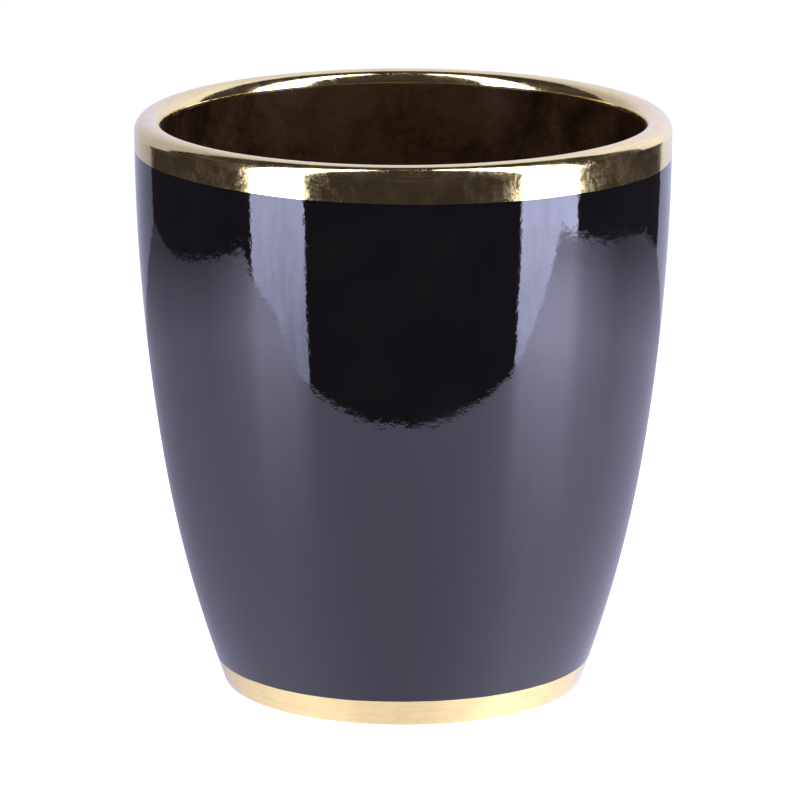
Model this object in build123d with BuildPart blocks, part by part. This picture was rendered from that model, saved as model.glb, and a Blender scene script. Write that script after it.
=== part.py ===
"""Cachepot: a cast earthenware cover pot, glazed inside and out, with gold lustre bands.

Every piece is turned about Z. The origin is the centre of the foot ring's underside, where the
pot stands, and +Z is up. Lengths are in millimetres.
"""

import os

from build123d import *

# Outside form, over the glaze and the gold
rim_diameter = 140.0
overall_height = 151.4
turn_diameter = 126.1  # where the long upper curve passes into the tighter lower one
turn_height = 60.5
foot_diameter = 94.6

# Clay body
clay_wall = 6.2
clay_floor = 6.0
cavity_corner_radius = 12.0
recess_depth = 2.5
foot_ring_width = 5.0

# Roundings of the body, as shares of the wall or ring that carries them
rim_rounding_share = 0.5  # the rim is a full half round
rim_turn = 180.0  # degrees, from upright outside to upright inside
foot_outer_rounding_share = 0.2
foot_inner_rounding_share = 0.2
recess_corner_share = 0.6
recess_draft_share = 0.3

# Coats
glaze_coat = 0.55
lustre_coat = 0.15  # lies in the outermost part of the glaze, flush with it
parting_share = 0.6  # where the two glazes meet on the crest, as a share of the clay wall
bare_foot_height = 0.3  # the foot ring is wiped clean up to here

# Gold bands
rim_band_outside = 9.2
rim_band_inside = 3.5
foot_band_height = 7.1

overrun = 10.0

# Worked out from the sizes above
clay_height = overall_height - glaze_coat
clay_rim_radius = rim_diameter / 2 - glaze_coat
clay_turn_radius = turn_diameter / 2 - glaze_coat
clay_foot_radius = foot_diameter / 2 - glaze_coat
rim_rounding = clay_wall * rim_rounding_share
crest_radius = clay_rim_radius - rim_rounding
cavity_floor = recess_depth + clay_floor
middle_of_floor = recess_depth + clay_floor / 2
ring_inner_radius = clay_foot_radius - foot_ring_width
parting_depth = clay_wall * parting_share
parting_radius = clay_rim_radius - parting_depth
reach = rim_diameter / 2 + overrun

# The clay's outside: two arcs tangent to each other, upright under the rim's rounding
with BuildLine() as clay_outside:
    upper_curve = TangentArc(
        (clay_rim_radius, clay_height - rim_rounding),
        (clay_turn_radius, turn_height),
        tangent=(0, -1),
    )
    lower_curve = TangentArc(
        upper_curve @ 1, (clay_foot_radius, 0), tangent=upper_curve % 1
    )


def point_under(curve, position, depth):
    """The point at a depth square under the clay's outside, at a position along one curve."""
    along = curve % position
    return curve @ position + Vector(along.Y, -along.X) * depth


def curves_under(depth):
    """Draw both curves of the outside at a depth under it, about the same centres."""
    upper = TangentArc(
        point_under(upper_curve, 0, depth),
        point_under(upper_curve, 1, depth),
        tangent=upper_curve % 0,
    )
    lower = TangentArc(
        upper @ 1, point_under(lower_curve, 1, depth), tangent=upper % 1
    )
    return upper, lower


# Sections are drawn with the radius along X and the height along Y

# The hollow that takes the plant's own pot
with BuildSketch() as cavity_section:
    with BuildLine():
        upper, lower = curves_under(clay_wall)
        Polyline(
            lower @ 1,
            (0, (lower @ 1).Y),
            (0, (upper @ 0).Y),
            upper @ 0,
        )
    make_face()
    with Locations((0, cavity_floor)):
        Rectangle(reach, overall_height, align=Align.MIN, mode=Mode.INTERSECT)
    corner = cavity_section.vertices().group_by(Axis.Y)[0].sort_by(Axis.X)[-1]
    fillet(corner, radius=cavity_corner_radius)

# The shallow recess that leaves a ring to stand on
with BuildSketch() as recess_section:
    recess_radius = ring_inner_radius - recess_depth * recess_draft_share
    with BuildLine():
        Polyline(
            (0, 0),
            (ring_inner_radius, 0),
            (recess_radius, recess_depth),
            (0, recess_depth),
            close=True,
        )
    make_face()
    corner = recess_section.vertices().group_by(Axis.Y)[-1].sort_by(Axis.X)[-1]
    fillet(corner, radius=recess_depth * recess_corner_share)

# The clay body: a half round for its rim, standing on its foot ring
with BuildSketch() as clay_section:
    with BuildLine():
        add(clay_outside.line)
        rim_centre = (crest_radius, clay_height - rim_rounding)
        rim = CenterArc(rim_centre, rim_rounding, 0, rim_turn)
        Polyline(rim @ 1, (0, (rim @ 1).Y), (0, 0), lower_curve @ 1)
    make_face()
    add(cavity_section.sketch, mode=Mode.SUBTRACT)
    add(recess_section.sketch, mode=Mode.SUBTRACT)
    for corner_radius, rounding_share in (
        (clay_foot_radius, foot_outer_rounding_share),
        (ring_inner_radius, foot_inner_rounding_share),
    ):
        corners = clay_section.vertices().sort_by_distance((corner_radius, 0))
        fillet(corners[0], radius=foot_ring_width * rounding_share)

# The coats follow the clay; the lustre's seat is the glaze that stays under the gold
with BuildSketch() as coated_section:
    add(clay_section.sketch)
    offset(amount=glaze_coat)

with BuildSketch() as lustre_seat_section:
    add(clay_section.sketch)
    offset(amount=glaze_coat - lustre_coat)

# Everything inside the line through the wall where one glaze passes into the other
with BuildSketch() as inner_side:
    with BuildLine():
        upper, lower = curves_under(parting_depth)
        Polyline(
            lower @ 1,
            ((lower @ 1).X, -overrun),
            (0, -overrun),
            (0, clay_height + overrun),
            (parting_radius, clay_height + overrun),
            upper @ 0,
        )
    make_face()

# The space outside that line and above the bare foot
with BuildSketch() as outer_side:
    with Locations((0, bare_foot_height)):
        Rectangle(reach, clay_height + overrun, align=Align.MIN)
    add(inner_side.sketch, mode=Mode.SUBTRACT)

# The gold laps over the crest, further down outside than inside
with BuildSketch() as rim_gold_section:
    add(coated_section.sketch)
    add(lustre_seat_section.sketch, mode=Mode.SUBTRACT)
    with BuildSketch(mode=Mode.PRIVATE) as rim_band_space:
        with Locations((parting_radius, overall_height - rim_band_outside)):
            Rectangle(clay_wall + overrun, rim_band_outside + overrun, align=Align.MIN)
        with Locations((parting_radius, overall_height - rim_band_inside)):
            Rectangle(
                clay_wall + overrun,
                rim_band_inside + overrun,
                align=(Align.MAX, Align.MIN),
            )
    add(rim_band_space.sketch, mode=Mode.INTERSECT)

with BuildSketch() as foot_gold_section:
    add(coated_section.sketch)
    add(lustre_seat_section.sketch, mode=Mode.SUBTRACT)
    add(outer_side.sketch, mode=Mode.INTERSECT)
    with Locations((0, bare_foot_height)):
        Rectangle(
            reach,
            foot_band_height - bare_foot_height,
            align=Align.MIN,
            mode=Mode.INTERSECT,
        )

# All the glaze, before it is parted into the coats inside, outside and under the pot
with BuildSketch() as glaze_section:
    add(coated_section.sketch)
    add(clay_section.sketch, mode=Mode.SUBTRACT)
    add(rim_gold_section.sketch, mode=Mode.SUBTRACT)
    add(foot_gold_section.sketch, mode=Mode.SUBTRACT)

with BuildPart() as earthenware_body:
    with BuildSketch(Plane.XZ):
        add(clay_section.sketch)
    revolve(axis=Axis.Z)

with BuildPart() as lining_glaze:
    with BuildSketch(Plane.XZ):
        add(glaze_section.sketch)
        add(inner_side.sketch, mode=Mode.INTERSECT)
        with Locations((0, middle_of_floor)):
            Rectangle(reach, overall_height, align=Align.MIN, mode=Mode.INTERSECT)
    revolve(axis=Axis.Z)

with BuildPart() as black_glaze:
    with BuildSketch(Plane.XZ):
        add(glaze_section.sketch)
        add(outer_side.sketch, mode=Mode.INTERSECT)
    revolve(axis=Axis.Z)

with BuildPart() as underside_glaze:
    with BuildSketch(Plane.XZ):
        add(glaze_section.sketch)
        add(inner_side.sketch, mode=Mode.INTERSECT)
        with Locations((0, bare_foot_height)):
            Rectangle(
                reach,
                middle_of_floor - bare_foot_height,
                align=Align.MIN,
                mode=Mode.INTERSECT,
            )
    revolve(axis=Axis.Z)

with BuildPart() as rim_gold_band:
    with BuildSketch(Plane.XZ):
        add(rim_gold_section.sketch)
    revolve(axis=Axis.Z)

with BuildPart() as foot_gold_band:
    with BuildSketch(Plane.XZ):
        add(foot_gold_section.sketch)
    revolve(axis=Axis.Z)

os.makedirs("parts", exist_ok=True)

earthenware_body.part.label = "earthenware_body"
export_step(earthenware_body.part, "parts/earthenware_body.step")

lining_glaze.part.label = "lining_glaze"
export_step(lining_glaze.part, "parts/lining_glaze.step")

black_glaze.part.label = "black_glaze"
export_step(black_glaze.part, "parts/black_glaze.step")

underside_glaze.part.label = "underside_glaze"
export_step(underside_glaze.part, "parts/underside_glaze.step")

rim_gold_band.part.label = "rim_gold_band"
export_step(rim_gold_band.part, "parts/rim_gold_band.step")

foot_gold_band.part.label = "foot_gold_band"
export_step(foot_gold_band.part, "parts/foot_gold_band.step")
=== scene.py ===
"""A cachepot with a black glaze and fired gold bands, dressed over its packed CAD frame.

Lengths are in metres, in the CAD's own frame: Z is the pot's axis, and it stands at z = 0.
Run as a script, it builds every piece, the studio round it and the camera.
"""

import math

import bpy
import numpy as np
from bpy.props import FloatProperty, FloatVectorProperty, IntProperty, PointerProperty
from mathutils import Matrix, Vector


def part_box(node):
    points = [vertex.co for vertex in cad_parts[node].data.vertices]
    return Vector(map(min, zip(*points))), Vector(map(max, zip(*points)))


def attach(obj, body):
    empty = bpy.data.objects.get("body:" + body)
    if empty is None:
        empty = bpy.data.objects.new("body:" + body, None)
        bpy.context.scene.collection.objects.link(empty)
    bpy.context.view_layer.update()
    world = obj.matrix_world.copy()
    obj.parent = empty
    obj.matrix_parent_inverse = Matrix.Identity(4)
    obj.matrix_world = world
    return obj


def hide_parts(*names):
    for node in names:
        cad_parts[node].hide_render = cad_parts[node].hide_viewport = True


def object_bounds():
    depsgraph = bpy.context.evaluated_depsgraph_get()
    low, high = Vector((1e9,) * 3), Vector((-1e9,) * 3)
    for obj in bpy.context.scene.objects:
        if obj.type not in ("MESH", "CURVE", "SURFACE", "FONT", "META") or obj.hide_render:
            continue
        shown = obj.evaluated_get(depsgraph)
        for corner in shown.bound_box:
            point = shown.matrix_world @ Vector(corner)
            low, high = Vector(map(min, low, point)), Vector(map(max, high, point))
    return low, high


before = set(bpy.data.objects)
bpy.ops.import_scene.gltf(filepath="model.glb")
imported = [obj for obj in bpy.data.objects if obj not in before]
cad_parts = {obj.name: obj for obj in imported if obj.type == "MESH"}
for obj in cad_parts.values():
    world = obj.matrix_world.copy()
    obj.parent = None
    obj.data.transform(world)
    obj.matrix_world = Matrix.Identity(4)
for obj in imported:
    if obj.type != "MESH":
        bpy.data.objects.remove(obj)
cad_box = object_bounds()

bl_info = {
    "name": "Cachepot",
    "version": (1, 0, 0),
    "blender": (4, 5, 0),
    "location": "View3D > Sidebar > Cachepot",
    "description": "Builds a glazed cachepot with fired gold bands, and a studio to show it in",
    "category": "Add Mesh",
}

MM = 0.001
OUTLINE_STEP = 0.1 * MM  # between the points of the clay's outline
EDGE_SLOPE = 0.12 * MM  # the way over which the glaze thins at the edge of the gold
EDGE_STEP = 0.06 * MM  # between rows on that slope
SHARP_ANGLE = 50  # degrees between two faces, past which their edge stays sharp


def length(name, description, default):
    """A length that the user may change, in metres."""
    return FloatProperty(
        name=name, description=description, default=default, min=0.0, unit="LENGTH", precision=5
    )


def share(name, description, default):
    """A plain number between nothing and all."""
    return FloatProperty(
        name=name, description=description, default=default, min=0.0, max=1.0, precision=3
    )


def colour(name, description, default):
    """A linear colour."""
    return FloatVectorProperty(
        name=name, description=description, default=default,
        size=3, subtype="COLOR", min=0.0, max=1.0,
    )


class CachepotForm(bpy.types.PropertyGroup):
    """The pot's sizes, as its solids have them"""

    rim_diameter: length("Rim diameter", "Across the gold at the rim", 2 * cad_box[1].x)
    overall_height: length("Height", "From the foot to the crest of the rim", cad_box[1].z)
    turn_diameter: length("Turn diameter", "Across the pot where its two curves meet", 126.1 * MM)
    turn_height: length("Turn height", "Height at which the two curves meet", 60.5 * MM)
    foot_diameter: length(
        "Foot diameter", "Across the foot, where the outline would reach the ground", 94.6 * MM
    )
    clay_wall: length(
        "Clay wall", "Thickness of the cast wall; the rim is a half round across it", 6.2 * MM
    )
    cavity_floor: length("Cavity floor", "Height of the clay floor inside", 8.5 * MM)
    cavity_corner: length(
        "Cavity corner", "Radius between the floor and the wall inside", 12.0 * MM
    )
    foot_rounding: length("Foot rounding", "Radius at the outer edge of the foot ring", 1.0 * MM)
    parting_share: share(
        "Parting", "Where the two glazes meet on the crest, as a share of the wall", 0.6
    )
    glaze_coat: length("Glaze coat", "Thickness of the glaze", 0.55 * MM)
    lustre_coat: length("Gold coat", "Outermost part of the coat that the gold takes", 0.15 * MM)
    bare_foot: length("Bare foot", "Height up to which the foot is wiped clean", 0.3 * MM)
    turns: IntProperty(
        name="Steps round", description="Steps round each piece", default=352, min=48
    )


class HandworkForm(bpy.types.PropertyGroup):
    """How far the hand and the kiln left the true form"""

    hollow_depth: length("Hollows", "Depth of the slow hollows in the glaze", 0.09 * MM)
    rim_edge_slope: length(
        "Band slope", "How far the rim band's lower edge runs out of level each side", 0.9 * MM
    )
    edge_wander: length("Edge wander", "How far a gold edge strays from its line", 0.11 * MM)
    seed: IntProperty(
        name="Seed", description="Start of the draws for hollows and edges", default=7, min=0
    )


class BlackGlazeLook(bpy.types.PropertyGroup):
    """The black glaze outside"""

    body: colour("Body colour", "Colour of the glaze itself", (0.0029, 0.0025, 0.0024))
    thin: colour("Thin colour", "Colour where the glaze ran thin", (0.0043, 0.0036, 0.0033))
    peel_size: length("Peel size", "Distance between the small dimples", 2.3 * MM)
    peel_depth: length("Peel depth", "Depth of the small dimples", 0.016 * MM)
    grit_size: length("Grit size", "Distance between the finest ripples", 0.55 * MM)
    grit_depth: length("Grit depth", "Depth of the finest ripples", 0.0046 * MM)
    cloud_size: length("Cloud size", "Distance between the clouds in the glaze", 14.0 * MM)
    pinhole_gap: length("Pinhole gap", "Distance between the pinholes", 9.0 * MM)
    pinhole_depth: length("Pinhole depth", "Depth of the pinholes", 0.012 * MM)
    ior: FloatProperty(name="IOR", description="Index of refraction", default=1.65, min=1.0)


class LiningLook(bpy.types.PropertyGroup):
    """The brown-black glaze inside"""

    deep: colour("Deep colour", "Colour where the glaze is thick", (0.0090, 0.0046, 0.0018))
    # rust is also the colour that the painted light on the cavity's far wall runs to
    rust: colour("Rust colour", "Colour where the clay warms it", (0.036, 0.0180, 0.0062))
    cloud_size: length("Cloud size", "Distance between the clouds in the glaze", 14.0 * MM)
    speck_size: length("Speck size", "Distance between the specks in the clouds", 2.2 * MM)
    ripple_size: length("Ripple size", "Distance between the ripples", 3.0 * MM)
    ripple_depth: length("Ripple depth", "Depth of the ripples", 0.012 * MM)
    ior: FloatProperty(name="IOR", description="Index of refraction", default=1.5, min=1.0)
    gloss_tint: colour("Gloss tint", "Colour that the glaze gives its gloss", (1.0, 0.84, 0.62))


class LustreLook(bpy.types.PropertyGroup):
    """The fired gold lustre"""

    gold: colour("Gold colour", "Colour of the bright gold", (0.99, 0.79, 0.33))
    worn: colour("Worn colour", "Colour where the gold was laid thin", (0.90, 0.71, 0.30))
    stroke_length: length("Stroke length", "Length of the brush's marks", 22.0 * MM)
    stroke_width: length("Stroke width", "Width of the brush's marks", 0.7 * MM)
    stroke_depth: length("Stroke depth", "Depth of the brush's marks", 0.0012 * MM)
    haze_size: length("Haze size", "Distance between the hazy specks", 0.42 * MM)
    haze_depth: length("Haze depth", "Depth of the hazy specks", 0.0018 * MM)
    cloud_size: length("Cloud size", "Distance between the hazy clouds", 5.0 * MM)
    dimple_size: length("Dimple size", "Distance between the dimples of the glaze below", 2.4 * MM)
    dimple_depth: length("Dimple depth", "Depth of those dimples", 0.010 * MM)


class ClayLook(bpy.types.PropertyGroup):
    """The bare fired clay"""

    pale: colour("Pale colour", "Colour of the clean clay", (0.80, 0.74, 0.65))
    dusty: colour("Dusty colour", "Colour of the clay's darker specks", (0.55, 0.47, 0.37))
    grain_size: length("Grain size", "Distance between the specks", 0.6 * MM)
    grain_depth: length("Grain depth", "Depth of the clay's grain", 0.04 * MM)


class StudioSetup(bpy.types.PropertyGroup):
    """The table, the lamps and the camera"""

    camera_place: FloatVectorProperty(
        name="Camera", description="Where the camera stands",
        default=(-0.846 * MM, -1400.0 * MM, 420.98 * MM), subtype="TRANSLATION", unit="LENGTH",
    )
    camera_pitch: FloatProperty(
        name="Pitch", description="How far the camera looks down", default=0.2423, subtype="ANGLE"
    )
    camera_lens: FloatProperty(
        name="Lens", description="Focal length in millimetres", default=246.5, min=1.0
    )
    left_lamp: FloatProperty(
        name="Left lamp", description="Brightness of the left soft lamp", default=7.5
    )
    right_lamp: FloatProperty(
        name="Right lamp", description="Brightness of the right soft lamp", default=9.4
    )
    lamp_tint: colour("Lamp tint", "Colour of both lamps", (0.665, 0.685, 1.0))
    paper_tint: colour(
        "Paper tint", "Colour of the lit paper on the table, as gloss sees it", (0.735, 0.715, 1.0)
    )
    back_tint: colour(
        "Back tint", "Colour of the paper behind the pot, as gloss sees it", (0.61, 0.635, 1.0)
    )
    room: colour("Dark room", "What the unlit room sends back", (0.035, 0.030, 0.042))
    fill: FloatProperty(name="Fill", description="Even light from all round", default=0.3)


def arc(centre, radius, start, end, side):
    """Points of a circle's arc and their normals: centre + radius * (cos, sin).

    side is 1 where the clay fills the circle and -1 where it lies outside it.
    """
    count = max(8, math.ceil(abs(end - start) * radius / OUTLINE_STEP))
    angle = np.linspace(start, end, count)
    spoke = np.stack([np.cos(angle), np.sin(angle)], 1)
    return np.array(centre) + radius * spoke, side * spoke


def run(start, end):
    """Points of a straight run and their normals, which point to the left of the travel."""
    start, end = np.array(start), np.array(end)
    reach = np.linalg.norm(end - start)
    count = max(3, math.ceil(reach / OUTLINE_STEP))
    points = start + (end - start) * np.linspace(0, 1, count)[:, None]
    normal = np.array([start[1] - end[1], end[0] - start[0]]) / reach
    return points, np.broadcast_to(normal, points.shape)


class Outline:
    """The clay's outline, from the middle of the cavity's floor over the rim to the foot.

    station is the way along it, place its radius and height, and normal points off the clay.
    marks gives the station at which each named stretch begins.
    """

    def __init__(self, form):
        wall, coat = form.clay_wall, form.glaze_coat
        top = form.overall_height - coat
        rim = form.rim_diameter / 2 - coat
        turn = np.array([form.turn_diameter / 2 - coat, form.turn_height])
        foot = np.array([form.foot_diameter / 2 - coat, 0.0])
        rounding = wall / 2
        crest = rim - rounding
        shoulder = top - rounding

        # the upper curve leaves the rim upright, and the lower one leaves it at the turn
        upper = ((shoulder - turn[1]) ** 2 + (rim - turn[0]) ** 2) / (2 * (rim - turn[0]))
        upper_centre = np.array([rim - upper, shoulder])
        spoke = (turn - upper_centre) / upper
        turn_angle = math.atan2(spoke[1], spoke[0])
        chord = turn - foot
        lower = chord @ chord / (2 * chord @ spoke)
        lower_centre = turn - lower * spoke

        def on_lower(inset, height):
            """The point and angle at a height on the circle inset from the lower curve."""
            rise = height - lower_centre[1]
            across = math.sqrt((lower - inset) ** 2 - rise**2)
            return (lower_centre[0] + across, height), math.atan2(rise, across)

        corner = form.cavity_corner
        corner_centre, corner_angle = on_lower(wall + corner, form.cavity_floor + corner)
        foot_centre, foot_angle = on_lower(form.foot_rounding, form.foot_rounding)
        quarter = math.pi / 2

        stretches = {
            "floor": run((0, form.cavity_floor), (corner_centre[0], form.cavity_floor)),
            "corner": arc(corner_centre, corner, -quarter, corner_angle, -1),
            "lower_inside": arc(lower_centre, lower - wall, corner_angle, turn_angle, -1),
            "upper_inside": arc(upper_centre, upper - wall, turn_angle, 0, -1),
            "rim_inside": arc((crest, shoulder), rounding, math.pi, quarter, 1),
            "rim_outside": arc((crest, shoulder), rounding, quarter, 0, 1),
            "upper_outside": arc(upper_centre, upper, 0, turn_angle, 1),
            "lower_outside": arc(lower_centre, lower, turn_angle, foot_angle, 1),
            "foot": arc(foot_centre, form.foot_rounding, foot_angle, -quarter, 1),
        }
        self.place = np.concatenate([points for points, _ in stretches.values()])
        self.normal = np.concatenate([normals for _, normals in stretches.values()])
        steps = np.linalg.norm(np.diff(self.place, axis=0), axis=1)
        self.station = np.concatenate([[0.0], np.cumsum(steps)])
        starts = np.cumsum([0] + [len(points) for points, _ in stretches.values()])
        self.marks = dict(zip(stretches, self.station[starts[:-1]]))
        self.end = self.station[-1]

    def inside_at(self, height, thickness):
        """The station inside the pot at which a coat's skin has a height."""
        ends = [self.marks["corner"], self.marks["rim_outside"]]
        low, high = np.searchsorted(self.station, ends)
        skin = (self.place + self.normal * thickness)[low:high, 1]
        return float(np.interp(height, skin, self.station[low:high]))

    def outside_at(self, height, thickness):
        """The station outside the pot at which a coat's skin has a height."""
        low = np.searchsorted(self.station, self.marks["rim_outside"])
        skin = (self.place + self.normal * thickness)[low:, 1]
        return float(np.interp(-height, -skin, self.station[low:]))

    def parting(self, form):
        """The station on the rim's crest where the two glazes meet."""
        ends = [self.marks["rim_inside"], self.marks["upper_outside"]]
        low, high = np.searchsorted(self.station, ends)
        radius = form.rim_diameter / 2 - form.glaze_coat - form.clay_wall * form.parting_share
        return float(np.interp(radius, self.place[low:high, 0], self.station[low:high]))

    def coat(self, station, thickness):
        """Radius and height of a coat's skin: the clay's point plus its normal times thickness."""
        radius, height, outwards, upwards = (
            np.interp(station, self.station, values) for values in (*self.place.T, *self.normal.T)
        )
        return radius + outwards * thickness, height + upwards * thickness


def rows_between(*stops):
    """Stations from stop to stop: each pair after the first is a station and the step up to it."""
    rows = [np.array([stops[0]])]
    for station, step in stops[1:]:
        start = rows[-1][-1]
        count = max(1, round(abs(station - start) / step))
        rows.append(np.linspace(start, station, count + 1)[1:])
    return np.concatenate(rows)


def angles_round(form):
    """The angle of each step round the pot."""
    return np.arange(form.turns) * 2 * math.pi / form.turns


def hollows(handwork, angle, station):
    """How deep the slow hollows are, from 0 to their depth.

    A sum of waves, each cos(n * angle + a) * cos(2 pi * station / w + b), with whole n so that
    it closes.
    """
    draw = np.random.default_rng(handwork.seed)
    waves, weight = np.zeros(np.broadcast(angle, station).shape), 0.0
    for count in (3, 5, 8, 11, 14, 18, 23, 29, 35):
        width = draw.uniform(0.8, 1.6) * 0.4 / count
        first, second = draw.uniform(0, 2 * math.pi, 2)
        strength = count**-1.1
        round_it = np.cos(count * angle + first)
        waves += strength * round_it * np.cos(2 * math.pi * station / width + second)
        weight += strength
    return handwork.hollow_depth * (0.5 + 0.5 * waves / weight)


def edge_wander(handwork, angle, stream, slope=0.0):
    """How far a gold edge strays along the outline: slope * cos(angle) plus a few small waves."""
    draw = np.random.default_rng(handwork.seed + stream)
    wander = slope * np.cos(angle)
    for count in (2, 3, 5, 9, 16, 27, 44):
        strength = handwork.edge_wander * count**-0.6
        wander = wander + strength * np.cos(count * angle + draw.uniform(0, 2 * math.pi))
    return wander


def follow_edge(rows, edge, wander, reach):
    """Rows of stations that move with an edge: each by the wander times 1 - distance / reach."""
    hold = np.clip(1 - np.abs(rows - edge) / reach, 0, 1)
    return rows[:, None] + hold[:, None] * wander[None, :]


def turned(angle, radius, height):
    """Points of rows carried round the axis: (radius cos, radius sin, height)."""
    return np.stack([radius * np.cos(angle), radius * np.sin(angle), height], -1)


def make_piece(name, points, along, brush, poles=None):
    """Turn a grid of points, (rows, steps round, 3), into a closed mesh.

    Rows join round the axis. Without poles the last row joins the first; with them, each end row
    closes on its pole. along gives each row's V in the piece's UV map, and brush each point's
    vector attribute.
    """
    rows, turns = points.shape[:2]
    row = np.arange(rows if poles is None else rows - 1)[:, None]
    step = np.arange(turns)[None, :]
    upper, onward = (row + 1) % rows, (step + 1) % turns
    quads = np.stack(
        [row * turns + step, row * turns + onward, upper * turns + onward, upper * turns + step], -1
    ).reshape(-1, 4)
    across = np.stack(np.broadcast_arrays(step, step + 1, step + 1, step), -1) / turns
    across = np.broadcast_to(across, (len(row), turns, 4)).reshape(-1)
    up = np.stack(np.broadcast_arrays(along[row], along[row], along[upper], along[upper]), -1)
    up = np.broadcast_to(up, (len(row), turns, 4)).reshape(-1)
    vertices, vectors = points.reshape(-1, 3), brush.reshape(-1, 3)
    faces, uv = quads.tolist(), np.stack([across, up], -1)
    if poles is not None:
        first, last = len(vertices), len(vertices) + 1
        vertices = np.concatenate([vertices, poles])
        vectors = np.concatenate([vectors, poles])
        here, there = step[0], onward[0]
        end_row = (rows - 1) * turns
        fan = [np.stack([there, here, np.full(turns, first)], -1)]
        fan.append(np.stack([end_row + here, end_row + there, np.full(turns, last)], -1))
        faces += np.concatenate(fan).tolist()
        middle = (here + 0.5) / turns
        for left, right, edge in ((here + 1, here, along[0]), (here, here + 1, along[-1])):
            corner = np.stack([left / turns, right / turns, middle], -1)
            level = np.tile([edge, edge, edge], (turns, 1))
            uv = np.concatenate([uv, np.stack([corner, level], -1).reshape(-1, 2)])
    mesh = bpy.data.meshes.new(name)
    mesh.from_pydata(vertices.tolist(), [], faces)
    mesh.uv_layers.new(name="UVMap").uv.foreach_set("vector", uv.astype(np.float32).ravel())
    mesh.attributes.new("brush", "FLOAT_VECTOR", "POINT").data.foreach_set(
        "vector", vectors.astype(np.float32).ravel()
    )
    if enclosed_volume(mesh) < 0:
        mesh.flip_normals()
    mesh.shade_smooth()
    mesh.set_sharp_from_angle(angle=math.radians(SHARP_ANGLE))
    mesh.update()
    piece = bpy.data.objects.new(name, mesh)
    bpy.context.scene.collection.objects.link(piece)
    return piece


def enclosed_volume(mesh):
    """The volume that a closed mesh holds: a sixth of the sum of a . (b x c) over its triangles."""
    mesh.calc_loop_triangles()
    corners = np.empty(len(mesh.loop_triangles) * 3, np.int32)
    mesh.loop_triangles.foreach_get("vertices", corners)
    places = np.empty(len(mesh.vertices) * 3, np.float32)
    mesh.vertices.foreach_get("co", places)
    a, b, c = places.reshape(-1, 3)[corners].reshape(-1, 3, 3).transpose(1, 0, 2).astype(float)
    return float(np.einsum("ij,ij->", a, np.cross(b, c)) / 6)


def coat_piece(name, outline, form, outer, inner, poles=None):
    """A coat as a closed piece: its skin out along the outline and its seat back again.

    outer and inner are (stations, thickness), each on a grid of rows and steps round.
    """
    angle = angles_round(form)[None, :]
    sides, brushes, levels = [], [], []
    for (station, thickness), way in ((outer, 1), (inner, -1)):
        radius, height = outline.coat(station, thickness)
        sides.append(turned(angle, radius, height)[::way])
        around = np.full_like(radius, form.rim_diameter / 2)
        brushes.append(turned(angle, around, station)[::way])
        levels.append(station.mean(1)[::way] / outline.end)
    return make_piece(
        name, np.concatenate(sides), np.concatenate(levels), np.concatenate(brushes), poles
    )


def finish_piece(piece, material, node):
    """Give a piece its material and its place on the pot, and hide the CAD node that it stands for.
    """
    piece.data.materials.append(material)
    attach(piece, "root")
    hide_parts(node)


def new_finish(name):
    """An empty material with a shader for its surface."""
    material = bpy.data.materials.new(name)
    material.use_nodes = True
    tree = material.node_tree
    return material, tree, tree.nodes["Principled BSDF"]


def add(tree, kind, inputs=None, **settings):
    """Add a node. An input is a value, or another node's output to link from."""
    made = tree.nodes.new("ShaderNode" + kind)
    for key, value in settings.items():
        setattr(made, key, value)
    for key, value in (inputs or {}).items():
        if isinstance(value, bpy.types.NodeSocket):
            tree.links.new(value, made.inputs[key])
        else:
            made.inputs[key].default_value = value
    return made


def noise(tree, place, size, detail=2.0, roughness=0.5, distortion=0.0):
    """Soft noise whose blotches lie about one size apart."""
    settings = {
        "Vector": place,
        "Scale": 1 / size,
        "Detail": detail,
        "Roughness": roughness,
        "Distortion": distortion,
    }
    return add(tree, "TexNoise", settings).outputs["Fac"]


def spread(tree, value, low, high, to_low=0.0, to_high=1.0):
    """Stretch a value from one range to another, and hold it there."""
    limits = {
        "Value": value,
        "From Min": low,
        "From Max": high,
        "To Min": to_low,
        "To Max": to_high,
    }
    return add(tree, "MapRange", limits).outputs["Result"]


def ramp(tree, value, stops):
    """A level read off a line through the stops, each a value and its level."""
    low, high = stops[0][0], stops[-1][0]
    made = add(tree, "ValToRGB", {"Fac": spread(tree, value, low, high)})
    elements = made.color_ramp.elements
    while len(elements) < len(stops):
        elements.new(0.5)
    for element, (place, level) in zip(elements, stops):
        element.position = (place - low) / (high - low)
        element.color = (level, level, level, 1.0)
    return made.outputs["Color"]


def product(tree, first, second):
    """Two values multiplied."""
    return add(tree, "Math", {0: first, 1: second}, operation="MULTIPLY").outputs[0]


def added(tree, first, second):
    """Two values added."""
    return add(tree, "Math", {0: first, 1: second}, operation="ADD").outputs[0]


def blend(tree, factor, first, second):
    """A colour between two others."""
    mix = add(tree, "Mix", data_type="RGBA")
    tree.links.new(factor, mix.inputs["Factor"])
    for socket, value in ((mix.inputs[6], first), (mix.inputs[7], second)):
        if isinstance(value, bpy.types.NodeSocket):
            tree.links.new(value, socket)
        else:
            socket.default_value = (*value, 1.0)
    return mix.outputs[2]


def bump(tree, height, depth, below=None):
    """Raise the surface by a height of 0 to 1 times the depth, on top of another bump."""
    inputs = {"Height": height, "Distance": depth}
    if below is not None:
        inputs["Normal"] = below
    return add(tree, "Bump", inputs).outputs["Normal"]


def object_place(tree, scale=(1.0, 1.0, 1.0)):
    """Places on the piece, stretched along each axis."""
    place = add(tree, "TexCoord").outputs["Object"]
    return add(tree, "Mapping", {"Vector": place, "Scale": scale}).outputs["Vector"]


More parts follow.
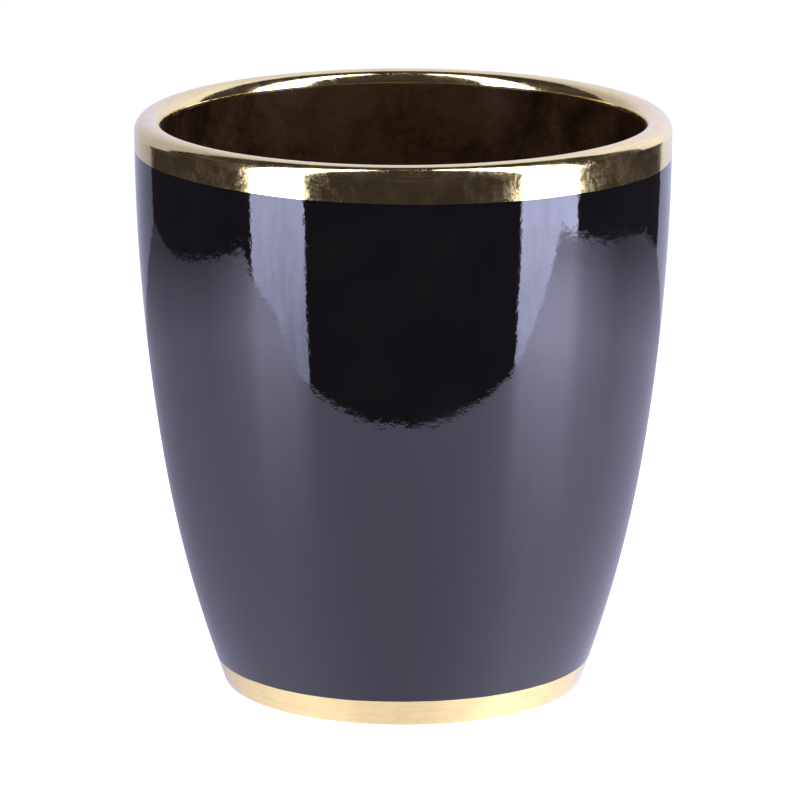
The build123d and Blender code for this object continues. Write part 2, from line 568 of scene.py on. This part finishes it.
def black_glaze(look):
    """Deep black gloss: faint thin clouds, small dimples and ripples, and a few pinholes."""
    material, tree, shader = new_finish("glossy_black_glaze")
    place = object_place(tree)
    clouds = noise(tree, place, look.cloud_size, detail=3)
    body = blend(tree, spread(tree, clouds, 0.45, 0.7), look.body, look.thin)
    peel = noise(tree, place, look.peel_size, detail=1.5)
    grit = noise(tree, place, look.grit_size, detail=1.0)
    cells = add(tree, "TexVoronoi", {"Vector": place, "Scale": 1 / look.pinhole_gap})
    pinholes = spread(tree, cells.outputs["Distance"], 0.010, 0.022)
    surface = bump(tree, peel, look.peel_depth)
    surface = bump(tree, grit, look.grit_depth, surface)
    surface = bump(tree, pinholes, look.pinhole_depth, surface)
    tree.links.new(body, shader.inputs["Base Color"])
    tree.links.new(spread(tree, clouds, 0.35, 0.65, 0.022, 0.045), shader.inputs["Roughness"])
    tree.links.new(surface, shader.inputs["Normal"])
    shader.inputs["IOR"].default_value = look.ior
    return material


def lining_glaze(look):
    """Brown-black gloss with specked rust-brown clouds, and painted light that makes the far wall
    inside warmer and lighter.
    """
    material, tree, shader = new_finish("brown_black_lining")
    place = object_place(tree)
    clouds = noise(tree, place, look.cloud_size, detail=5, roughness=0.62, distortion=0.3)
    specks = noise(tree, place, look.speck_size, detail=3, roughness=0.65)
    warmth_and_painted_light = product(tree, clouds, spread(tree, specks, 0.2, 0.8, 0.75, 1.25))
    # painted light: the far wall of the cavity, which faces the lamps, is painted warmer and
    # lighter
    far = add(tree, "SeparateXYZ", {0: place}).outputs["Y"]
    warmth_and_painted_light = added(tree, warmth_and_painted_light, spread(tree, far, 0.0, 62 * MM, 0.0, 0.28))
    body = blend(tree, spread(tree, warmth_and_painted_light, 0.49, 0.79), look.deep, look.rust)
    surface = bump(tree, noise(tree, place, look.ripple_size), look.ripple_depth)
    tree.links.new(body, shader.inputs["Base Color"])
    tree.links.new(spread(tree, clouds, 0.35, 0.65, 0.14, 0.30), shader.inputs["Roughness"])
    tree.links.new(surface, shader.inputs["Normal"])
    shader.inputs["IOR"].default_value = look.ior
    shader.inputs["Specular Tint"].default_value = (*look.gloss_tint, 1.0)
    return material


def gold_lustre(look):
    """Mirror gold with brushed strokes along the band, hazy clouds and fine hairs across it."""
    material, tree, shader = new_finish("fired_gold_lustre")
    place = object_place(tree)
    path = add(tree, "Attribute", attribute_name="brush").outputs["Vector"]
    slender = look.stroke_length / look.stroke_width
    along = add(tree, "Mapping", {"Vector": path, "Scale": (1, 1, slender)}).outputs["Vector"]
    across = add(tree, "Mapping", {"Vector": path, "Scale": (1, 1, 0.12)}).outputs["Vector"]
    strokes = noise(tree, along, look.stroke_length, detail=3, roughness=0.6)
    hairs = noise(tree, across, look.haze_size)
    clouds = noise(tree, place, look.cloud_size, detail=5, roughness=0.62, distortion=0.4)
    grain = noise(tree, place, look.haze_size)
    dimples = noise(tree, place, look.dimple_size, detail=1.5)
    laid = product(tree, strokes, clouds)
    body = blend(tree, spread(tree, laid, 0.14, 0.30), look.worn, look.gold)
    texture = product(tree, spread(tree, hairs, 0.2, 0.8, 0.8, 1.2), grain)
    haze = product(tree, clouds, texture)
    surface = bump(tree, strokes, look.stroke_depth)
    surface = bump(tree, grain, look.haze_depth, surface)
    surface = bump(tree, dimples, look.dimple_depth, surface)
    tree.links.new(body, shader.inputs["Base Color"])
    tree.links.new(spread(tree, haze, 0.16, 0.36, 0.07, 0.20), shader.inputs["Roughness"])
    tree.links.new(surface, shader.inputs["Normal"])
    shader.inputs["Metallic"].default_value = 1.0
    return material


def bare_clay(look):
    """Pale matt clay with fine darker grain."""
    material, tree, shader = new_finish("bare_fired_clay")
    place = object_place(tree)
    grain = noise(tree, place, look.grain_size, detail=4, roughness=0.7)
    body = blend(tree, spread(tree, grain, 0.52, 0.70), look.pale, look.dusty)
    tree.links.new(body, shader.inputs["Base Color"])
    tree.links.new(bump(tree, grain, look.grain_depth), shader.inputs["Normal"])
    tree.links.new(spread(tree, grain, 0.3, 0.7, 0.78, 0.92), shader.inputs["Roughness"])
    return material


def finish_of(name, make, look):
    """The named material, made once."""
    return bpy.data.materials.get(name) or make(look)


def seat_thickness(form, rows, edge, gold_side):
    """Thickness of the glaze: less by the gold's coat on the gold's side of the edge."""
    seat = form.glaze_coat - form.lustre_coat
    hidden = np.clip((rows - edge) * gold_side / EDGE_SLOPE, 0, 1)
    return form.glaze_coat + (seat - form.glaze_coat) * hidden


def band_edges(outline, form):
    """Stations of the gold's edges: inside the rim, outside it, above the foot and at its end."""
    coat = form.glaze_coat
    return (
        outline.inside_at(rim_inside_edge(), coat),
        outline.outside_at(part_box("rim_gold_band")[0].z, coat),
        outline.outside_at(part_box("foot_gold_band")[1].z, coat),
        outline.outside_at(form.bare_foot, coat),
    )


def rim_inside_edge():
    """Height of the gold's edge inside the rim: the lowest of its points nearest the axis."""
    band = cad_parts["rim_gold_band"].data
    places = np.empty(len(band.vertices) * 3, np.float32)
    band.vertices.foreach_get("co", places)
    places = places.reshape(-1, 3)
    radius = np.hypot(places[:, 0], places[:, 1])
    return float(places[radius < radius.min() + 0.3 * MM, 2].min())


def rim_edge_wander(handwork, angle):
    """The lower edge of the rim band runs a little downhill to the right."""
    return edge_wander(handwork, angle, 1, handwork.rim_edge_slope)


def foot_edge_wander(handwork, angle):
    """The upper edge of the foot band keeps its level."""
    return edge_wander(handwork, angle, 2)


def inside_edge_wander(handwork, angle):
    """The gold's edge inside the rim."""
    return edge_wander(handwork, angle, 3)


def dress_node(name, finish):
    """Give a CAD node a finish; its mesh stays as it is."""
    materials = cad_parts[name].data.materials
    materials.clear()
    materials.append(finish)


class CACHEPOT_OT_black_glaze(bpy.types.Operator):
    """Pour the black glaze over the outside, thinner where it carries the gold"""

    bl_idname = "cachepot.black_glaze"
    bl_label = "Black glaze"

    def execute(self, context):
        form, handwork = context.scene.cachepot_form, context.scene.cachepot_handwork
        outline, angle = Outline(form), angles_round(form)
        parting = outline.parting(form)
        rim_edge, foot_edge, wiped = band_edges(outline, form)[1:]
        marks = outline.marks
        rows = rows_between(
            parting,
            (marks["upper_outside"], 0.3 * MM),
            (rim_edge - EDGE_SLOPE, 0.9 * MM),
            (rim_edge, EDGE_STEP),
            (rim_edge + 1 * MM, 0.25 * MM),
            (marks["lower_outside"], 0.85 * MM),
            (foot_edge - 1 * MM, 0.85 * MM),
            (foot_edge, 0.25 * MM),
            (foot_edge + EDGE_SLOPE, EDGE_STEP),
            (marks["foot"], 0.9 * MM),
            (wiped, 0.2 * MM),
        )
        station = follow_edge(rows, rim_edge, rim_edge_wander(handwork, angle), 5 * MM)
        foot_station = follow_edge(rows, foot_edge, foot_edge_wander(handwork, angle), 5 * MM)
        station = station + foot_station - rows[:, None]
        thickness = np.minimum(
            seat_thickness(form, rows, rim_edge, -1), seat_thickness(form, rows, foot_edge, 1)
        )
        depth = hollows(handwork, angle[None, :], station)
        seat_rows = rows_between(
            parting,
            (marks["upper_outside"], 0.6 * MM),
            (marks["lower_outside"], 3 * MM),
            (marks["foot"], 3 * MM),
            (outline.outside_at(form.bare_foot, 0), 0.4 * MM),
        )
        seat = np.repeat(seat_rows[:, None], form.turns, 1)
        skin = thickness[:, None] - depth
        piece = coat_piece(
            "black_glaze_coat", outline, form, (station, skin), (seat, np.zeros_like(seat))
        )
        finish = finish_of("glossy_black_glaze", black_glaze, context.scene.cachepot_black)
        finish_piece(piece, finish, "black_glaze")
        dress_node("underside_glaze", finish)
        return {"FINISHED"}


class CACHEPOT_OT_lining(bpy.types.Operator):
    """Line the cavity with the brown-black glaze"""

    bl_idname = "cachepot.lining"
    bl_label = "Lining glaze"

    def execute(self, context):
        form, handwork = context.scene.cachepot_form, context.scene.cachepot_handwork
        outline, angle = Outline(form), angles_round(form)
        marks = outline.marks
        parting = outline.parting(form)
        edge = band_edges(outline, form)[0]
        rows = rows_between(
            0.5 * MM,
            (marks["corner"], 1.5 * MM),
            (marks["lower_inside"], 0.7 * MM),
            (marks["upper_inside"], 1.1 * MM),
            (edge - 1 * MM, 1.1 * MM),
            (edge, 0.25 * MM),
            (edge + EDGE_SLOPE, EDGE_STEP),
            (parting, 0.3 * MM),
        )
        station = follow_edge(rows, edge, inside_edge_wander(handwork, angle), 3 * MM)
        fade = np.clip(rows / marks["corner"], 0, 1)[:, None]
        depth = hollows(handwork, angle[None, :], station) * fade
        skin = seat_thickness(form, rows, edge, 1)[:, None] - depth
        seat_rows = rows_between(
            0.5 * MM,
            (marks["corner"], 6 * MM),
            (marks["lower_inside"], 1.5 * MM),
            (marks["rim_inside"], 3 * MM),
            (parting, 0.5 * MM),
        )
        seat = np.repeat(seat_rows[:, None], form.turns, 1)
        floor = form.cavity_floor
        poles = np.array([(0, 0, floor + form.glaze_coat), (0, 0, floor)])
        piece = coat_piece(
            "lining_glaze_coat", outline, form, (station, skin), (seat, np.zeros_like(seat)), poles
        )
        finish = finish_of("brown_black_lining", lining_glaze, context.scene.cachepot_lining)
        finish_piece(piece, finish, "lining_glaze")
        return {"FINISHED"}


class CACHEPOT_OT_gold_bands(bpy.types.Operator):
    """Lay the gold round the rim and round the foot"""

    bl_idname = "cachepot.gold_bands"
    bl_label = "Gold bands"

    def execute(self, context):
        form, handwork = context.scene.cachepot_form, context.scene.cachepot_handwork
        outline, angle = Outline(form), angles_round(form)
        inside, outside, foot_top, foot_end = band_edges(outline, form)
        marks = outline.marks
        rim_rows = rows_between(
            inside,
            (inside + EDGE_SLOPE, EDGE_STEP),
            (marks["upper_outside"], 0.16 * MM),
            (outside - EDGE_SLOPE, 0.4 * MM),
            (outside, EDGE_STEP),
        )
        foot_rows = rows_between(
            foot_top,
            (foot_top + EDGE_SLOPE, EDGE_STEP),
            (marks["foot"], 0.4 * MM),
            (foot_end, 0.12 * MM),
        )
        finish = finish_of("fired_gold_lustre", gold_lustre, context.scene.cachepot_lustre)
        for node, rows, edges in (
            (
                "rim_gold_band",
                rim_rows,
                ((inside, inside_edge_wander, 1, 3), (outside, rim_edge_wander, -1, 5)),
            ),
            ("foot_gold_band", foot_rows, ((foot_top, foot_edge_wander, 1, 5),)),
        ):
            station = np.repeat(rows[:, None], form.turns, 1)
            seat = np.full(len(rows), form.glaze_coat - form.lustre_coat)
            for edge, wander, gold_side, reach in edges:
                moved = follow_edge(rows, edge, wander(handwork, angle), reach * MM)
                station += moved - rows[:, None]
                seat = np.maximum(seat, seat_thickness(form, rows, edge, gold_side) - 0.01 * MM)
            depth = hollows(handwork, angle[None, :], station)
            skin = np.full_like(station, form.glaze_coat) - depth
            seat_end = outline.outside_at(form.bare_foot, form.glaze_coat - form.lustre_coat)
            shift = np.full(form.turns, seat_end - foot_end)
            seat_station = station + follow_edge(rows, foot_end, shift, 1 * MM) - rows[:, None]
            seat_skin = seat[:, None] - depth
            piece = coat_piece(
                node + "_lustre", outline, form, (station, skin), (seat_station, seat_skin)
            )
            finish_piece(piece, finish, node)
        return {"FINISHED"}


class CACHEPOT_OT_clay(bpy.types.Operator):
    """Fire the clay body, which stays bare under the foot"""

    bl_idname = "cachepot.clay"
    bl_label = "Clay body"

    def execute(self, context):
        finish = finish_of("bare_fired_clay", bare_clay, context.scene.cachepot_clay)
        dress_node("earthenware_body", finish)
        return {"FINISHED"}


def stage_mesh(name, points, material, seen_by):
    """A sheet from a grid of points, which only the named kinds of ray see."""
    rows, columns = points.shape[:2]
    row, column = np.arange(rows - 1)[:, None], np.arange(columns - 1)[None, :]
    first = row * columns + column
    faces = np.stack([first, first + 1, first + columns + 1, first + columns], -1)
    mesh = bpy.data.meshes.new(name)
    mesh.from_pydata(points.reshape(-1, 3).tolist(), [], faces.reshape(-1, 4).tolist())
    mesh.shade_smooth()
    sheet = bpy.data.objects.new(name, mesh)
    bpy.context.scene.collection.objects.link(sheet)
    mesh.materials.append(material)
    for kind in ("camera", "diffuse", "glossy", "transmission", "volume_scatter", "shadow"):
        setattr(sheet, "visible_" + kind, kind in seen_by)
    return sheet


def dome_patch(azimuths, elevations, distance, centre=70 * MM):
    """Part of a ball round the pot: azimuth 0 is towards the camera and grows to the right."""
    azimuth = np.radians(np.linspace(*azimuths, 33))[None, :]
    elevation = np.radians(np.linspace(*elevations, 49))[:, None]
    east = np.sin(azimuth) * np.cos(elevation)
    north = -np.cos(azimuth) * np.cos(elevation)
    up = np.sin(elevation) * np.ones_like(azimuth)
    return np.stack([east, north, up], -1) * distance + np.array([0, 0, centre])


def new_glow(name, tint):
    """A material that only shines: the places on the piece, its shader and the material."""
    material = bpy.data.materials.new(name)
    material.use_nodes = True
    tree = material.node_tree
    tree.nodes.clear()
    glow = add(tree, "Emission", {"Color": (*tint, 1.0), "Strength": 1.0})
    output = add(tree, "OutputMaterial")
    tree.links.new(glow.outputs[0], output.inputs["Surface"])
    return object_place(tree), glow, material


def room_dark(tint):
    """The unlit room: even below the table's level, with a few dim level streaks of light above."""
    place, glow, material = new_glow("dark_room", tint)
    tree = material.node_tree
    height = add(tree, "SeparateXYZ", {0: place}).outputs["Z"]
    streaks = noise(tree, object_place(tree, (1, 1, 5)), 520 * MM, detail=4, roughness=0.6)
    streaks = spread(tree, streaks, 0.54, 0.72, 0.0, 2.6)
    above = product(tree, spread(tree, height, -200 * MM, 60 * MM), streaks)
    tree.links.new(added(tree, above, 1.0), glow.inputs["Strength"])
    return material


def lamp_cloth(name, tint, strength, low_share):
    """A lamp's cloth: a little cloudy, and dimmer towards its lower end, under the table's edge."""
    place, glow, material = new_glow(name, tint)
    tree = material.node_tree
    height = add(tree, "SeparateXYZ", {0: place}).outputs["Z"]
    level = spread(tree, height, -340 * MM, -140 * MM, low_share * strength, strength)
    clouds = noise(tree, place, 60 * MM, detail=4, roughness=0.7)
    clouds = spread(tree, clouds, 0.3, 0.7, 0.84, 1.10)
    tree.links.new(product(tree, level, clouds), glow.inputs["Strength"])
    return material


def floor_paper():
    """Pale paper with a faint gloss, and with light of its own, so that it reads as white."""
    material, _, shader = new_finish("floor_paper")
    shader.inputs["Base Color"].default_value = (0.55, 0.55, 0.55, 1.0)
    shader.inputs["Roughness"].default_value = 0.28
    shader.inputs["IOR"].default_value = 1.5
    shader.inputs["Emission Color"].default_value = (1.0, 1.0, 1.0, 1.0)
    shader.inputs["Emission Strength"].default_value = 0.82
    return material


# The lit paper on the table, in millimetres: the y of the point that bearings are taken from, where
# the shine starts and the distance over which it grows, and where the light starts and ends fading
BEARING_CENTRE = -30
SHINE_START, SHINE_REACH, SHINE_POWER = 90, 150, 1.7
FADE_START, FADE_END, FADE_TO = 340, 510, 0.36
# How bright it is, by bearing in degrees: its painted light, which drops in the pot's painted
# shadow behind it, and its painted shine under the lamps, which is their reflection
TABLE_LIGHT_AND_SHADOW = (
    (-180, 0.36), (-142, 0.41), (-122, 0.53), (-101, 0.77), (-80, 0.97), (-65, 1.06),
    (-50, 1.00), (-22, 0.86), (0, 0.84), (22, 0.90), (50, 1.15), (66, 1.36), (80, 1.28),
    (101, 1.03), (134, 0.70), (180, 0.36),
)
TABLE_PAINTED_SHINE = (
    (-180, 0.0), (-93, 0.0), (-80, 0.11), (-72, 0.26), (-65, 0.60), (-50, 0.65), (-45, 0.42),
    (-39, 0.05), (20, 0.08), (36, 0.05), (45, 0.18), (48, 0.32), (53, 0.93), (66, 0.93),
    (76, 0.82), (83, 0.36), (93, 0.15), (104, 0.0), (180, 0.0),
)
# Its edges, as points of x and y in millimetres
TABLE_FRONT = (
    (-480, -190), (-398, -200), (-308, -230), (-213, -214), (-125, -223), (-5, -232),
    (94, -226), (211, -208), (535, -222),
)
TABLE_LEFT = ((-200, -482), (-84, -491), (20, -490), (170, -463), (370, -440), (430, -500))
TABLE_RIGHT = (
    (-200, 536), (-18, 536), (71, 529), (171, 511), (288, 468), (375, 350), (430, 396)
)
# How bright the paper behind the pot is, by x in millimetres
BACK_LIGHT = ((-430, 0.50), (-100, 0.77), (60, 0.82), (430, 0.98))


def table_paper(tint):
    """Lit paper as gloss sees it, a glow with its light painted in: a light that drops in the pot's
    painted shadow behind it, and under the lamps a painted shine, their reflection, that grows
    outwards.

    The bearing is atan2(x, BEARING_CENTRE - y), from 0 towards the camera and growing to the
    right. The light is (light and shadow + shine * ((distance - start) / reach) ** power) * fade.
    """
    place, glow, material = new_glow("table_paper", tint)
    tree = material.node_tree
    x, y = (add(tree, "SeparateXYZ", {0: place}).outputs[axis] for axis in "XY")
    nearer = add(tree, "Math", {0: BEARING_CENTRE * MM, 1: y}, operation="SUBTRACT").outputs[0]
    bearing = add(tree, "Math", {0: x, 1: nearer}, operation="ARCTAN2").outputs[0]
    bearing = add(tree, "Math", {0: bearing}, operation="DEGREES").outputs[0]
    out = add(tree, "VectorMath", {0: place}, operation="LENGTH").outputs["Value"]
    reaches = spread(
        tree, out, SHINE_START * MM, (SHINE_START + 3 * SHINE_REACH) * MM, 0.0, 3.0
    )
    growth = add(tree, "Math", {0: reaches, 1: SHINE_POWER}, operation="POWER").outputs[0]
    shine = product(tree, ramp(tree, bearing, TABLE_PAINTED_SHINE), growth)
    # painted light: the pot's shadow behind it and the lamps' reflection are painted into the
    # paper's glow
    level = added(tree, ramp(tree, bearing, TABLE_LIGHT_AND_SHADOW), shine)
    fade = spread(tree, out, FADE_START * MM, FADE_END * MM, 1.0, FADE_TO)
    level = product(tree, level, fade)
    tree.links.new(product(tree, level, 1 / tint[1]), glow.inputs["Strength"])
    return material


def back_paper(tint):
    """The lit paper behind the pot: dimmer to the left, and bluer and brighter higher up."""
    place, glow, material = new_glow("back_paper", tint)
    tree = material.node_tree
    x, height = (add(tree, "SeparateXYZ", {0: place}).outputs[axis] for axis in "XZ")
    level = ramp(tree, x, [(stop * MM, value / tint[1]) for stop, value in BACK_LIGHT])
    level = product(tree, level, spread(tree, height, 20 * MM, 90 * MM, 0.80, 1.0))
    low_tint = (tint[0], tint[1], 0.87 * tint[2])
    shade = blend(tree, spread(tree, height, 60 * MM, 300 * MM), low_tint, tint)
    tree.links.new(level, glow.inputs["Strength"])
    tree.links.new(shade, glow.inputs["Color"])
    return material


FLOOR_RADIUS = 3000 * MM
ROOM_DISTANCE, LAMP_DISTANCE = 1700 * MM, 1200 * MM  # from the middle of the pot
LEFT_LAMP, RIGHT_LAMP = (-66.6, -41.6), (50.0, 77.8)  # degrees of azimuth from side to side
LAMP_ELEVATIONS = (-25, 82)


class CACHEPOT_OT_studio(bpy.types.Operator):
    """Set up the floor, the paper sweep, the dark room, two soft lamps and the camera"""

    bl_idname = "cachepot.studio"
    bl_label = "Studio"

    def execute(self, context):
        scene, setup = context.scene, context.scene.cachepot_studio
        self.lay_floor()
        self.hang_paper(setup)
        dome = dome_patch((-180, 180), (-89, 89), ROOM_DISTANCE)
        stage_mesh("dark_room", dome, room_dark(setup.room), ("glossy", "transmission"))
        for name, azimuths, strength, low_share in (
            ("left_lamp", LEFT_LAMP, setup.left_lamp, 0.50),
            ("right_lamp", RIGHT_LAMP, setup.right_lamp, 0.66),
        ):
            cloth = lamp_cloth(name, setup.lamp_tint, strength, low_share)
            patch = dome_patch(azimuths, LAMP_ELEVATIONS, LAMP_DISTANCE)
            stage_mesh(name, patch, cloth, ("diffuse", "glossy", "transmission"))
        self.light_world(scene, setup)
        self.place_camera(scene, setup)
        scene.view_settings.view_transform = "Standard"
        return {"FINISHED"}

    def lay_floor(self):
        """A wide round floor that the camera sees and the pot shades."""
        radius = np.linspace(0.0, FLOOR_RADIUS, 24)[:, None]
        angle = np.linspace(0, 2 * math.pi, 97)[None, :]
        points = turned(angle, radius * np.ones_like(angle), 0 * radius * angle)
        stage_mesh("floor", points, floor_paper(), ("camera", "diffuse"))

    def hang_paper(self, setup):
        """Paper on the table and, from a bend behind the pot, upright, as gloss sees it."""
        back, bend, top = 430, 60, 950
        wider_from, wider_to, wider_by = 90, 230, 400
        front_middle = -215
        across = np.linspace(0, 1, 61)[None, :]
        away = np.linspace(0, 1, 31)[:, None]

        def between(depth, fraction):
            """x at a fraction of the way across, from the left edge to the right one."""
            left, right = (np.interp(depth, *zip(*edge)) for edge in (TABLE_LEFT, TABLE_RIGHT))
            return left + (right - left) * fraction

        front = np.interp(between(front_middle, across), *zip(*TABLE_FRONT))
        depth = front + (back - bend - front) * away
        table = np.stack([between(depth, across), depth, 0 * depth], -1) * MM
        stage_mesh("table_paper", table, table_paper(setup.paper_tint), ("glossy", "transmission"))
        turn = np.linspace(0, math.pi / 2, 12)[:, None]
        depth = np.concatenate([back - bend + bend * np.sin(turn), [[back]] * 3])
        height = np.concatenate([bend - bend * np.cos(turn), [[wider_from], [wider_to], [top]]])
        depth, height = depth + 0 * across, height + 0 * across
        wider = np.interp(height, [wider_from, wider_to], [0, wider_by]) * (2 * across - 1)
        wall = np.stack([between(depth, across) + wider, depth, height], -1) * MM
        stage_mesh("back_paper", wall, back_paper(setup.back_tint), ("glossy", "transmission"))

    def light_world(self, scene, setup):
        """White to the eye, to gloss and through glass, and a low even fill for the rest."""
        world = bpy.data.worlds.new("studio")
        scene.world = world
        world.use_nodes = True
        tree = world.node_tree
        tree.nodes.clear()
        rays = add(tree, "LightPath").outputs
        seen = rays["Is Camera Ray"]
        for kind in ("Is Glossy Ray", "Is Transmission Ray"):
            seen = add(tree, "Math", {0: seen, 1: rays[kind]}, operation="MAXIMUM").outputs[0]
        level = spread(tree, seen, 0, 1, setup.fill, 1.0)
        sky = add(tree, "Background", {"Color": (1.0, 1.0, 1.0, 1.0), "Strength": level})
        output = add(tree, "OutputWorld")
        tree.links.new(sky.outputs[0], output.inputs["Surface"])

    def place_camera(self, scene, setup):
        """A long lens a little above the rim."""
        lens = bpy.data.cameras.new("camera")
        lens.lens = setup.camera_lens
        lens.clip_end = 10.0
        camera = bpy.data.objects.new("camera", lens)
        camera.location = setup.camera_place
        camera.rotation_euler = (math.pi / 2 - setup.camera_pitch, 0, 0)
        scene.collection.objects.link(camera)
        scene.camera = camera


class CACHEPOT_PT_panel(bpy.types.Panel):
    """Sizes, finishes and steps"""

    bl_idname = "CACHEPOT_PT_panel"
    bl_label = "Cachepot"
    bl_space_type = "VIEW_3D"
    bl_region_type = "UI"
    bl_category = "Cachepot"

    def draw(self, context):
        for attribute, group in GROUPS.items():
            box = self.layout.box()
            box.label(text=group.__doc__)
            for name in group.__annotations__:
                box.prop(getattr(context.scene, attribute), name)
        for operator in OPERATORS:
            self.layout.operator(operator.bl_idname)


GROUPS = {
    "cachepot_form": CachepotForm,
    "cachepot_handwork": HandworkForm,
    "cachepot_black": BlackGlazeLook,
    "cachepot_lining": LiningLook,
    "cachepot_lustre": LustreLook,
    "cachepot_clay": ClayLook,
    "cachepot_studio": StudioSetup,
}
OPERATORS = (
    CACHEPOT_OT_studio,
    CACHEPOT_OT_clay,
    CACHEPOT_OT_lining,
    CACHEPOT_OT_black_glaze,
    CACHEPOT_OT_gold_bands,
)


def register():
    for group in (*GROUPS.values(), *OPERATORS, CACHEPOT_PT_panel):
        bpy.utils.register_class(group)
    for attribute, group in GROUPS.items():
        setattr(bpy.types.Scene, attribute, PointerProperty(type=group))


def unregister():
    for attribute in GROUPS:
        delattr(bpy.types.Scene, attribute)
    for group in reversed((*GROUPS.values(), *OPERATORS, CACHEPOT_PT_panel)):
        bpy.utils.unregister_class(group)


def main():
    """Register the add-on, then build the studio and every piece."""
    register()
    bpy.ops.cachepot.studio()
    bpy.ops.cachepot.clay()
    bpy.ops.cachepot.lining()
    bpy.ops.cachepot.black_glaze()
    bpy.ops.cachepot.gold_bands()


if __name__ == "__main__":
    main()
